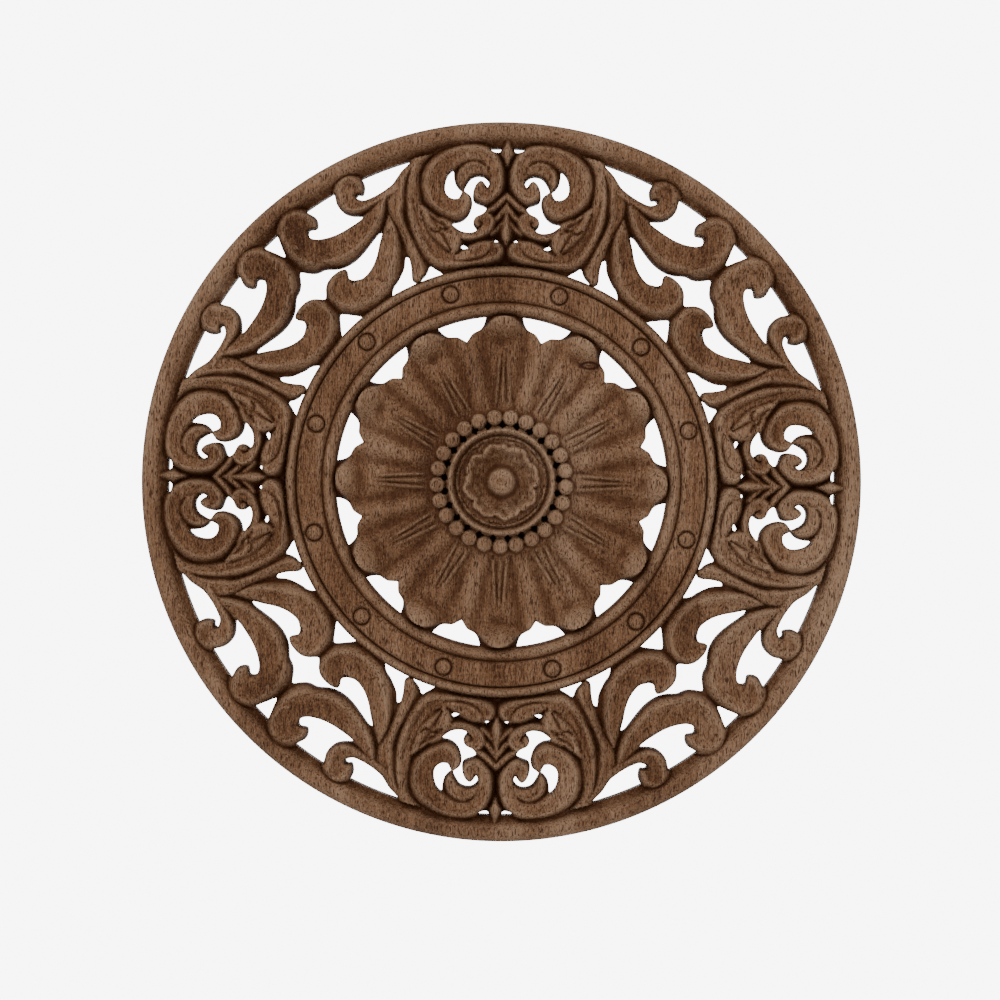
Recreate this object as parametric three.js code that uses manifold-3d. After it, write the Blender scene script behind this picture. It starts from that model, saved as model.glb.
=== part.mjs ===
import * as THREE from "three";
import { mergeVertices } from "three/addons/utils/BufferGeometryUtils.js";
import Module from "manifold-3d";

// A pierced round wooden applique, carved from one board, that is fixed flat on a wall or a panel.
// Millimetres. X runs to the right, Z runs up, the carved front faces -Y and the flat back lies at y = 0.
// The carving is drawn as seen from the front, with z as the height above the back, and is stood up last.

// Main sizes
const RIM_OUTER_RADIUS = 150;
const RIM_WIDTH = 10.7;
const RIM_HEIGHT = 12.5;
const MEDALLION_RADIUS = 89.9;
const MEDALLION_RING_WIDTH = 20.6;
const MEDALLION_HEIGHT = 11.5;
const WEB_HEIGHT = 9.5;
const GROOVE_DEPTH = 4.5;
const FLOWER_HEIGHT = 10.5;
const PETAL_HOLLOW = 2.3;
const PETAL_RIB = 1;
const PETAL_TIP_HEIGHT = 14;
const PETAL_TIP_FALL = 1;
const BOSS_RADIUS = 22.3;
const BOSS_HEIGHT = 16.5;
const BUTTON_RADIUS = 5.6;
const BUTTON_HEIGHT = 18;
const BUTTON_ROUNDING = 2.2;
const FLORET_DISH = 6.3;
const FLORET_EDGE = 2.3;
const FLORET_NOTCH = 1.4;
const FLORET_GROUND = 4.3;
const BEAD_DIAMETER = 6.1;
const BEAD_TOP_HEIGHT = 14.5;
const PATERA_RADIUS = 4.1;
const PATERA_DEPTH = 0.9;

// Counts, angles and shares
const PETAL_COUNT = 12;
const BEAD_COUNT = 25;
const MOTIF_COUNT = 4;
const FLORET_LOBE_COUNT = 8;
const PATERA_ANGLE = 16.3;
const MEDALLION_FACE_SHARE = 0.84;
const RIM_SLOPE_SHARE = 0.28;
const PATERA_PLACE_SHARE = 0.44;
const PETAL_NOTCH_SHARE = 0.866;
const BEAD_PLACE_SHARE = 0.72;
const BEAD_DOME_SHARE = 0.35;

// Fineness of the rounded faces
const RING_STEP_COUNT = 44;
const PETAL_STEP_COUNT = 4;
const LOBE_STEP_COUNT = 3;
const PATERA_SIDE_COUNT = 8;
const BEAD_SIDE_COUNT = 6;
const CUTTER_SIDE_COUNT = 3;
const OUTLINE_TOLERANCE = 0.9;
const WELD_DISTANCE = 1e-4;

// Seats that follow from the main sizes
const RIM_INNER_RADIUS = RIM_OUTER_RADIUS - RIM_WIDTH;
const MEDALLION_INNER_RADIUS = MEDALLION_RADIUS - MEDALLION_RING_WIDTH;
const SEAT_OVERLAP = 0.9;
const BAND_INNER = MEDALLION_RADIUS - SEAT_OVERLAP;
const BAND_OUTER = RIM_INNER_RADIUS + SEAT_OVERLAP;
const PATERA_CIRCLE_RADIUS = MEDALLION_RADIUS - PATERA_PLACE_SHARE * MEDALLION_RING_WIDTH;
const BEAD_CIRCLE_RADIUS = BOSS_RADIUS + BEAD_PLACE_SHARE * BEAD_DIAMETER;
const THROUGH = 1;

const wasm = await Module();
wasm.setup();

function toSolid(geometry) {
  const bare = geometry.clone();
  bare.deleteAttribute("normal");
  bare.deleteAttribute("uv");
  const merged = mergeVertices(bare, WELD_DISTANCE);
  return new wasm.Manifold(new wasm.Mesh({
    numProp: 3,
    vertProperties: new Float32Array(merged.attributes.position.array),
    triVerts: new Uint32Array(merged.index.array),
  }));
}

function toGeometry(solid) {
  const mesh = solid.getMesh();
  const geometry = new THREE.BufferGeometry();
  geometry.setAttribute("position", new THREE.BufferAttribute(new Float32Array(mesh.vertProperties), 3));
  geometry.setIndex(new THREE.BufferAttribute(new Uint32Array(mesh.triVerts), 1));
  return geometry;
}

function joinAll(solids) {
  return solids.reduce((whole, next) => whole.add(next));
}

// A copy turned clockwise by some degrees about the centre of the carving
function turned(geometry, degrees) {
  return geometry.clone().rotateZ(-THREE.MathUtils.degToRad(degrees));
}

// The same surface with its faces turned to the other side
function turnedOut(geometry) {
  const index = geometry.index.array;
  for (let i = 0; i < index.length; i += 3) {
    [index[i + 1], index[i + 2]] = [index[i + 2], index[i + 1]];
  }
  return geometry;
}

// Half a motif and its mirror image, in each of the four places
function allRound(half) {
  const other = turnedOut(half.clone().scale(-1, 1, 1));
  const copies = [];
  for (let i = 0; i < MOTIF_COUNT; i += 1) {
    const turn = i * 360 / MOTIF_COUNT;
    copies.push(toSolid(turned(half, turn)), toSolid(turned(other, turn)));
  }
  return joinAll(copies);
}

// A point on the face by its angle clockwise from the top and its radius
function polar(degrees, radius) {
  const angle = THREE.MathUtils.degToRad(degrees);
  return new THREE.Vector3(radius * Math.sin(angle), radius * Math.cos(angle), 0);
}

// A point of the scroll band: angle from the motif's axis, share of the band's width from the medallion out
function onBand([degrees, share]) {
  return polar(degrees, THREE.MathUtils.lerp(BAND_INNER, BAND_OUTER, share / 100));
}

// Leaves out the points of a line that lie closer than the tolerance to the straight run between others
function thin(points, tolerance) {
  if (points.length < 3) {
    return points;
  }
  const first = points[0];
  const last = points[points.length - 1];
  const chord = last.clone().sub(first);
  const length = chord.length();
  let farthest = 0;
  let reach = tolerance;
  for (let i = 1; i < points.length - 1; i += 1) {
    const offset = points[i].clone().sub(first);
    const distance = length > 0 ? offset.clone().cross(chord).length() / length : offset.length();
    if (distance > reach) {
      reach = distance;
      farthest = i;
    }
  }
  if (farthest === 0) {
    return [first, last];
  }
  const before = thin(points.slice(0, farthest + 1), tolerance);
  const after = thin(points.slice(farthest), tolerance);
  return [...before, ...after.slice(1)];
}

// A sawn opening through the whole thickness, from a closed outline
function opening(outline, toPoint) {
  const corners = outline.map(toPoint);
  const kept = thin([...corners, corners[0]], OUTLINE_TOLERANCE).slice(0, -1);
  const depth = BUTTON_HEIGHT + 2 * THROUGH;
  const prism = new THREE.ExtrudeGeometry(new THREE.Shape(kept), { depth, bevelEnabled: false });
  return prism.translate(0, 0, -THROUGH);
}

// A ring turned from its section, given clockwise by radius and height
function turnedRing(profile, steps) {
  const closed = [...profile, profile[0]].reverse();
  const points = closed.map(([radius, height]) => new THREE.Vector2(radius, height));
  return toSolid(new THREE.LatheGeometry(points, steps).rotateX(Math.PI / 2));
}

// A groove cutter along a line of stations of angle, share and half width in shares, fading out at both ends
function grooveCutter(line) {
  const unit = (BAND_OUTER - BAND_INNER) / 100;
  const stations = line.map((station) => onBand(station).setZ(station[2] * unit));
  const above = WEB_HEIGHT + THROUGH;
  const below = WEB_HEIGHT - GROOVE_DEPTH;
  const last = stations.length - 1;
  const positions = [stations[0].x, stations[0].y, above];
  for (let i = 1; i < last; i += 1) {
    const station = stations[i];
    const along = stations[i + 1].clone().sub(stations[i - 1]).setZ(0).normalize();
    const side = new THREE.Vector3(along.y, -along.x, 0).multiplyScalar(station.z);
    positions.push(station.x + side.x, station.y + side.y, above);
    positions.push(station.x - side.x, station.y - side.y, above);
    positions.push(station.x, station.y, below);
  }
  positions.push(stations[last].x, stations[last].y, above);
  const tail = 1 + CUTTER_SIDE_COUNT * (last - 1);
  const index = [];
  for (let side = 0; side < CUTTER_SIDE_COUNT; side += 1) {
    const next = (side + 1) % CUTTER_SIDE_COUNT;
    index.push(0, 1 + side, 1 + next);
    for (let here = 1; here < tail - CUTTER_SIDE_COUNT; here += CUTTER_SIDE_COUNT) {
      const ahead = here + CUTTER_SIDE_COUNT;
      index.push(here + side, ahead + side, ahead + next, here + side, ahead + next, here + next);
    }
    index.push(tail, tail - CUTTER_SIDE_COUNT + next, tail - CUTTER_SIDE_COUNT + side);
  }
  const geometry = new THREE.BufferGeometry();
  geometry.setAttribute("position", new THREE.Float32BufferAttribute(positions, 3));
  geometry.setIndex(index);
  return geometry;
}

// The grooves of half a motif, from its axis (0 degrees) to the middle between two motifs (45 degrees)
const GROOVES = {
  betweenScrolls: [
    [13, 104, 1], [16.2, 88, 2.8], [17.3, 70, 3.6], [17.7, 48, 2.4], [16.6, 30, 2.6], [13.4, 15, 1],
  ],
  bulbOverLeaf: [[17.2, 62, 1], [14.6, 48, 3.8], [9.8, 38, 1]],
  outsideScroll: [[15.4, 104, 1], [19.6, 76, 3.2], [21.1, 50, 3], [20.4, 24, 2.4], [19.5, 7, 1]],
  roundTongue: [[3.2, 69, 1], [4.2, 85, 2.4], [7.2, 90.4, 2.6], [10.2, 79, 1]],
  upperPit: [[1, 51.5, 1], [3.1, 42.6, 3], [3.9, 38, 1]],
  lowerPit: [[0.8, 43, 1], [2.4, 35.2, 2.6], [3.3, 29, 1]],
  leafGround: [[0, 27, 1], [5, 24.4, 3], [10.6, 23.6, 3], [11.7, 35, 1]],
  bottomLeaf: [[3, 24, 1], [5.4, 11.6, 1.8], [13.4, 9.6, 1]],
  axisTop: [[0, 58, 1], [0, 65, 3.4], [0, 76, 2], [0, 87, 3.6], [0, 95, 1]],
  belowLongLeaf: [[23.6, 76, 1], [25.4, 61.5, 2.8], [27.6, 49, 1]],
  aboveLongLeaf: [[23.8, 78, 1], [27.2, 72.6, 2.8], [30, 68, 1]],
  besideInnerLeaf: [[24, 54, 1], [23.5, 33, 3.2], [24, 20, 1]],
  outerContact: [[45, 59, 1], [45, 72, 3.4], [45, 85, 1]],
  innerContact: [[45, 37, 1], [45, 25, 3.4], [45, 12, 1]],
};

// The sawn openings of half a motif, with the ones on its edges drawn past the middle line
const OPENINGS = {
  besideFinial: [[1.2, 96], [1.3, 106], [3.4, 106], [2.7, 95.6], [1.9, 94.8]],
  heartHook: [
    [3.4, 69.5], [3.7, 73], [4.5, 75.8], [5.6, 76.6], [6.7, 75.3], [7.6, 71.5], [8.4, 65.3], [7.3, 60.5],
    [7.05, 57.5], [7.1, 54], [8, 46.5], [9, 43], [10.2, 41.2], [11.8, 40.8], [11.9, 39], [11, 35.5],
    [9.8, 32.3], [8, 30.6], [6.7, 32.2], [7.3, 38], [6.7, 42.3], [4.8, 45.6], [4.25, 50.2], [6.5, 55.5],
    [6.85, 58.5], [6.7, 62], [6.3, 66.5], [5.6, 70.3], [4.9, 71.6], [4.3, 69.5], [3.8, 66.6],
  ],
  crescent: [
    [9.9, 83.5], [10.9, 80.8], [11.6, 76], [12, 70], [11.9, 64.5], [11.2, 60.8], [10.4, 59.4], [9.7, 60.2],
    [8.8, 65.2], [9.4, 68.5], [9.85, 72.5], [9.95, 77],
  ],
  eye: [[9.1, 18.6], [9.8, 18], [10.6, 18.8], [10.9, 21], [10.4, 22.4], [9.6, 20.8]],
  pinhole: [[1.8, 22], [2.4, 21], [2.9, 22.3], [2.4, 24.2]],
  leftOfSpur: [
    [16.8, -4], [16.9, 2.5], [18.6, 9], [19.2, 11.4], [19.7, 11.2], [20.3, 8.6], [21.4, 5.6], [22.8, 3.2],
    [22.8, -4],
  ],
  rightOfSpur: [
    [23.6, 24.4], [24.1, 25.9], [25.3, 19.3], [26.2, 16], [28.6, 10.1], [30, 7.9], [31.4, 2.6], [31.2, -4],
    [24.4, -4], [24.4, 2.8], [24.9, 5.6], [24.1, 13.5], [23.7, 19],
  ],
  underLeaf: [[41.2, -4], [41.4, 2.8], [43.2, 10], [44.2, 13.8], [45, 15.9], [46, 12], [46, -4]],
  betweenLeaves: [
    [26.7, 52], [27.3, 52.4], [29.8, 48.2], [31.4, 45.6], [33, 43.6], [34.6, 42.5], [36.2, 42.6],
    [37.6, 43.7], [39, 46.2], [40.2, 49.7], [41, 51.6], [42.2, 52.9], [43.1, 55], [44, 58.8], [45, 63.5],
    [46, 58], [46, 38], [45, 33], [43.3, 38.6], [42.2, 41.2], [40.8, 42.5], [39.2, 42.5], [38, 41.8],
    [37.3, 40], [37.9, 34.5], [37.8, 31.5], [36, 27.1], [35, 26.5], [33.8, 27.3], [32.2, 29.7],
    [30.8, 33.2], [29.5, 37.8], [28.4, 43],
  ],
  overLongLeaf: [
    [31.2, 106], [31.4, 95], [31.8, 88], [31.3, 79.5], [30.4, 75.2], [28.6, 70], [28.9, 68.7], [30.2, 67.6],
    [32, 67.2], [34, 67.4], [35.6, 68.6], [37.1, 70.8], [38.5, 74.3], [39.2, 78.5], [39.1, 82], [38.5, 84.3],
    [37.1, 82], [36.2, 88.5], [36.9, 97], [36.9, 106],
  ],
  betweenHeads: [[43.3, 106], [43.5, 96.5], [44.3, 87], [45, 80.6], [46, 84], [46, 106]],
  overStem: [
    [16.9, 106], [17, 97.3], [19, 91.6], [21, 85], [22.4, 82.4], [24, 80.8], [25.8, 80.3], [27.3, 81.3],
    [28.2, 86.3], [27.6, 87.8], [26.9, 86.2], [26, 91], [25.8, 95], [25.9, 106],
  ],
};

// Half of the sawn opening between two petal tips: angle from a petal's middle, share of the flower's reach
const PETAL_GAP = [
  [6.4, 1.02], [6.6, 0.99], [7.4, 0.957], [8.7, 0.928], [10.2, 0.918], [12, 0.908], [13.3, 0.89],
  [14.4, 0.873],
];

// The sections of the two moulded rings: share of the width from the inside out, share of the height
const RIM_SECTION = [
  [0, 0], [0, 0.55], [RIM_SLOPE_SHARE, 0.84], [0.6, 1], [0.9, 0.86], [1, 0.62], [1, 0],
];
const MEDALLION_SECTION = [
  [0, 0], [0, 0.7], [0.15, 1], [0.28, MEDALLION_FACE_SHARE], [0.8, MEDALLION_FACE_SHARE], [0.91, 1],
  [1, 0.7], [1, 0],
];

function scrollBand() {
  const inner = MEDALLION_RADIUS - 2 * SEAT_OVERLAP;
  const outer = RIM_INNER_RADIUS + RIM_SLOPE_SHARE * RIM_WIDTH;
  const section = [[inner, 0], [inner, WEB_HEIGHT], [outer, WEB_HEIGHT], [outer, 0]];
  const blank = turnedRing(section, RING_STEP_COUNT);
  const sunk = Object.values(GROOVES).map(grooveCutter);
  const sawn = Object.values(OPENINGS).map((outline) => opening(outline, onBand));
  return blank.subtract(allRound(toGeometry(joinAll([...sunk, ...sawn].map(toSolid)))));
}

function mouldedRing(innerRadius, width, height, section) {
  const profile = section.map(([across, up]) => [innerRadius + across * width, up * height]);
  return turnedRing(profile, RING_STEP_COUNT);
}

// A round body over the flat back. Each of its circles has the height that heightAt gives it at each step.
function heightDisc(radii, steps, middleHeight, heightAt) {
  const positions = [0, 0, 0, 0, 0, middleHeight];
  const middleCount = 2;
  radii.forEach((radius, ring) => {
    for (let i = 0; i < steps; i += 1) {
      const point = polar(360 * i / steps, radius);
      positions.push(point.x, point.y, heightAt(ring, i));
    }
  });
  const index = [];
  const at = (ring, i) => middleCount + ring * steps + (i % steps);
  const last = radii.length - 1;
  const foot = middleCount + radii.length * steps;
  for (let i = 0; i < steps; i += 1) {
    const point = polar(360 * i / steps, radii[last]);
    positions.push(point.x, point.y, 0);
    const next = (i + 1) % steps;
    index.push(1, at(0, i + 1), at(0, i));
    for (let ring = 0; ring < last; ring += 1) {
      index.push(at(ring, i), at(ring, i + 1), at(ring + 1, i + 1));
      index.push(at(ring, i), at(ring + 1, i + 1), at(ring + 1, i));
    }
    index.push(at(last, i), at(last, i + 1), foot + next, at(last, i), foot + next, foot + i);
    index.push(0, foot + i, foot + next);
  }
  const geometry = new THREE.BufferGeometry();
  geometry.setAttribute("position", new THREE.Float32BufferAttribute(positions, 3));
  geometry.setIndex(index);
  return toSolid(geometry);
}

// A petal along its length: share of its reach, then the heights of its border, its hollows and its middle
const PETAL_FLOOR = FLOWER_HEIGHT - PETAL_HOLLOW;
const PETAL_LEVELS = [
  [0.45, PETAL_FLOOR, PETAL_FLOOR, PETAL_FLOOR],
  [0.7, FLOWER_HEIGHT, PETAL_FLOOR, PETAL_FLOOR + PETAL_RIB],
  [0.88, FLOWER_HEIGHT - PETAL_RIB, PETAL_FLOOR, PETAL_FLOOR + PETAL_RIB],
  [0.95, FLOWER_HEIGHT, PETAL_TIP_HEIGHT - PETAL_TIP_FALL, PETAL_TIP_HEIGHT],
  [1, FLOWER_HEIGHT, PETAL_TIP_HEIGHT - 2 * PETAL_TIP_FALL, PETAL_TIP_HEIGHT - PETAL_TIP_FALL],
];

// Twelve fluted petals with raised borders, a hollow before the tip and an upturned tip
function flower() {
  const pitch = 360 / PETAL_COUNT;
  const reach = MEDALLION_INNER_RADIUS + SEAT_OVERLAP;
  const radii = PETAL_LEVELS.map(([share]) => share * reach);
  const disc = heightDisc(radii, PETAL_COUNT * PETAL_STEP_COUNT, PETAL_FLOOR, (ring, step) => {
    const [, border, hollow, middle] = PETAL_LEVELS[ring];
    const place = step % PETAL_STEP_COUNT;
    if (place === 0) {
      return middle;
    }
    return place === PETAL_STEP_COUNT / 2 ? border : hollow;
  });
  const otherSide = PETAL_GAP.map(([degrees, share]) => [pitch - degrees, share]).reverse();
  const outline = [...PETAL_GAP, [pitch / 2, PETAL_NOTCH_SHARE], ...otherSide];
  const gap = opening(outline, ([degrees, share]) => polar(degrees, share * MEDALLION_INNER_RADIUS));
  const gaps = [];
  for (let i = 0; i < PETAL_COUNT; i += 1) {
    gaps.push(toSolid(turned(gap, i * pitch)));
  }
  return disc.subtract(joinAll(gaps));
}

// The boss from its middle out: radius, height, and the height at the notches between the floret's lobes
const BOSS_LEVELS = [
  [0.64 * BUTTON_RADIUS, BUTTON_HEIGHT, BUTTON_HEIGHT],
  [BUTTON_RADIUS, BUTTON_HEIGHT - BUTTON_ROUNDING, BUTTON_HEIGHT - BUTTON_ROUNDING],
  [0.42 * BOSS_RADIUS, BOSS_HEIGHT - FLORET_DISH, BOSS_HEIGHT - FLORET_DISH],
  [0.65 * BOSS_RADIUS, BOSS_HEIGHT - FLORET_EDGE, BOSS_HEIGHT - FLORET_EDGE - FLORET_NOTCH],
  [0.83 * BOSS_RADIUS, BOSS_HEIGHT - FLORET_GROUND, BOSS_HEIGHT - FLORET_GROUND],
  [0.96 * BOSS_RADIUS, BOSS_HEIGHT, BOSS_HEIGHT],
  [BOSS_RADIUS, 0.9 * BOSS_HEIGHT, 0.9 * BOSS_HEIGHT],
];

// The round boss with its raised edge, the lobed floret in its dish and the button in the middle
function boss() {
  const radii = BOSS_LEVELS.map(([radius]) => radius);
  const steps = FLORET_LOBE_COUNT * LOBE_STEP_COUNT;
  return heightDisc(radii, steps, BUTTON_HEIGHT, (ring, step) => {
    const [, lobe, notch] = BOSS_LEVELS[ring];
    return step % LOBE_STEP_COUNT === 0 ? notch : lobe;
  });
}

// Beads in a circle round the boss, with a gap between two of them at the top
function beads() {
  const radius = BEAD_DIAMETER / 2;
  const shoulder = BEAD_TOP_HEIGHT - BEAD_DOME_SHARE * BEAD_DIAMETER;
  const section = [[0, 0], [radius, 0], [radius, shoulder], [0, BEAD_TOP_HEIGHT]];
  const profile = section.map(([x, y]) => new THREE.Vector2(x, y));
  const upright = new THREE.LatheGeometry(profile, BEAD_SIDE_COUNT).rotateX(Math.PI / 2);
  const bead = upright.translate(0, BEAD_CIRCLE_RADIUS, 0);
  const ring = [];
  for (let i = 0; i < BEAD_COUNT; i += 1) {
    ring.push(toSolid(turned(bead, (i + 0.5) * 360 / BEAD_COUNT)));
  }
  return joinAll(ring);
}

// The ring grooves of the round pateras, eight beside the motifs' axes and four between the motifs
function pateraGrooves() {
  const face = MEDALLION_FACE_SHARE * MEDALLION_HEIGHT;
  const above = face + THROUGH;
  const below = face - PATERA_DEPTH;
  const section = [[0.6 * PATERA_RADIUS, above], [PATERA_RADIUS, above], [0.8 * PATERA_RADIUS, below]];
  const groove = toGeometry(turnedRing(section, PATERA_SIDE_COUNT)).translate(0, PATERA_CIRCLE_RADIUS, 0);
  const grooves = [];
  for (let i = 0; i < MOTIF_COUNT; i += 1) {
    const axis = i * 360 / MOTIF_COUNT;
    for (const turn of [axis - PATERA_ANGLE, axis + PATERA_ANGLE, axis + 180 / MOTIF_COUNT]) {
      grooves.push(toSolid(turned(groove, turn)));
    }
  }
  return joinAll(grooves);
}

const rim = mouldedRing(RIM_INNER_RADIUS, RIM_WIDTH, RIM_HEIGHT, RIM_SECTION);
const medallion = mouldedRing(
  MEDALLION_INNER_RADIUS, MEDALLION_RING_WIDTH, MEDALLION_HEIGHT, MEDALLION_SECTION,
);
const carving = joinAll([
  scrollBand(),
  rim,
  medallion.subtract(pateraGrooves()),
  flower(),
  boss(),
  beads(),
]);

const wood = new THREE.MeshStandardMaterial({ color: 0x7a5a43, roughness: 0.72, metalness: 0 });
const applique = new THREE.Mesh(toGeometry(carving), wood);
applique.name = "carved_applique";
applique.rotation.x = Math.PI / 2;

const group = new THREE.Group();
group.add(applique);

export default group;
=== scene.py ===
import math

import bpy
import numpy as np
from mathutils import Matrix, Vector
from mathutils.geometry import delaunay_2d_cdt


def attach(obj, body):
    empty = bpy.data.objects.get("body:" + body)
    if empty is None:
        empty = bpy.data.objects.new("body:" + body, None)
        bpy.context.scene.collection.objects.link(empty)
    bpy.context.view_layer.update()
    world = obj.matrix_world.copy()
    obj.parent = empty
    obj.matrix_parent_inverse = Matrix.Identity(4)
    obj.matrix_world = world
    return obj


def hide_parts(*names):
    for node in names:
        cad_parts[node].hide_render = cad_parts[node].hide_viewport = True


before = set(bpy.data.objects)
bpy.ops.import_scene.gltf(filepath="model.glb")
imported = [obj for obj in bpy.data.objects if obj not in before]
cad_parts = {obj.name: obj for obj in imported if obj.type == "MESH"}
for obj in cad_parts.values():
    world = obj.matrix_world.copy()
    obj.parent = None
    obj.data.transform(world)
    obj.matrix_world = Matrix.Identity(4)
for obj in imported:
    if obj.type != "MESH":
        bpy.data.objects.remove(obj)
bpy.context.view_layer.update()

# The carving is worked out in millimetres as seen from the front: x to the right, y up, and the height
# above the flat back. Angles are in degrees, clockwise from the upper motif's axis. Main sizes:
MM = 0.001
RIM_OUTER = 150.0
RIM_INNER = 139.3
RING_OUTER = 89.9
RING_INNER = 69.3
SEAT = 0.9
BAND_INNER = RING_OUTER - SEAT
BAND_OUTER = RIM_INNER + SEAT
BOSS_HEIGHT = 16.5
BUTTON_HEIGHT = 18.0
PATERA_CIRCLE = 80.84
PATERA_RADIUS = 4.1
PATERA_ANGLE = 16.3
PETAL_PITCH = 30.0
SECTOR = 45.0
SECTOR_COUNT = 8

# The mesh: spacing along the openings and over the face, how sharp a bend keeps the fine spacing, and how
# near merged and welded points are
OUTLINE_STEP = 0.7
FINE_STEP = 0.68
SHARP = 0.06
PROBE = 0.45
ROW_SPACING = 0.866
JITTER = 0.1
ON_CIRCLE = 0.002
TINY = 1e-6
MERGE = 1e-5
WELD = 2e-3
FAR = 1e9
CHUNK = 4000
RNG = np.random.default_rng(7)


def polar(degrees, radius):
    angle = np.radians(degrees)
    return np.stack([radius * np.sin(angle), radius * np.cos(angle)], -1)


def radius_of(points):
    return np.hypot(points[:, 0], points[:, 1])


def degrees_of(points):
    return np.degrees(np.arctan2(points[:, 0], points[:, 1]))


def fade(value, start, width):
    """0 at the start, 1 a width further on, and straight between them."""
    return np.clip((value - start) / width, 0, 1)


def bump(value):
    """A smooth hump that is 1 at 0 and fades out by about 2."""
    return np.exp(-value * value)


def hump(value, rise, middle, spread):
    """A hump (or a hollow, with a rise below 0) of the given height, place and spread."""
    return rise * bump((value - middle) / spread)


def on_band(points):
    """Points given by angle and share of the band's width, with any width in shares."""
    points = np.asarray(points, float)
    unit = (BAND_OUTER - BAND_INNER) / 100
    place = polar(points[:, 0], BAND_INNER + unit * points[:, 1])
    return np.hstack([place, unit * points[:, 2:]])


def root_gap(start, end):
    """The square root of two points' distance, which spaces a centripetal curve."""
    return max(np.linalg.norm((end - start)[:2]), TINY) ** 0.5


def smooth_line(points, step, closed=False):
    """A centripetal Catmull-Rom curve through the points, sampled about every step millimetres."""
    points = np.asarray(points, float)
    count = len(points)
    if closed:
        wrapped = np.vstack([points[-1], points, points[0], points[1]])
        spans = count
    else:
        wrapped = np.vstack([2 * points[0] - points[1], points, 2 * points[-1] - points[-2]])
        spans = count - 1
    samples = []
    for i in range(spans):
        p0, p1, p2, p3 = wrapped[i:i + 4]
        t1 = root_gap(p0, p1)
        t2 = t1 + root_gap(p1, p2)
        t3 = t2 + root_gap(p2, p3)
        pieces = max(1, int(math.ceil(np.linalg.norm((p2 - p1)[:2]) / step)))
        t = (t1 + (t2 - t1) * np.arange(pieces) / pieces)[:, None]
        a1 = (t1 - t) / t1 * p0 + t / t1 * p1
        a2 = (t2 - t) / (t2 - t1) * p1 + (t - t1) / (t2 - t1) * p2
        a3 = (t3 - t) / (t3 - t2) * p2 + (t - t2) / (t3 - t2) * p3
        b1 = (t2 - t) / t2 * a1 + t / t2 * a2
        b2 = (t3 - t) / (t3 - t1) * a2 + (t - t1) / (t3 - t1) * a3
        samples.append((t2 - t) / (t2 - t1) * b1 + (t - t1) / (t2 - t1) * b2)
    if not closed:
        samples.append(points[-1:])
    return np.vstack(samples)


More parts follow.
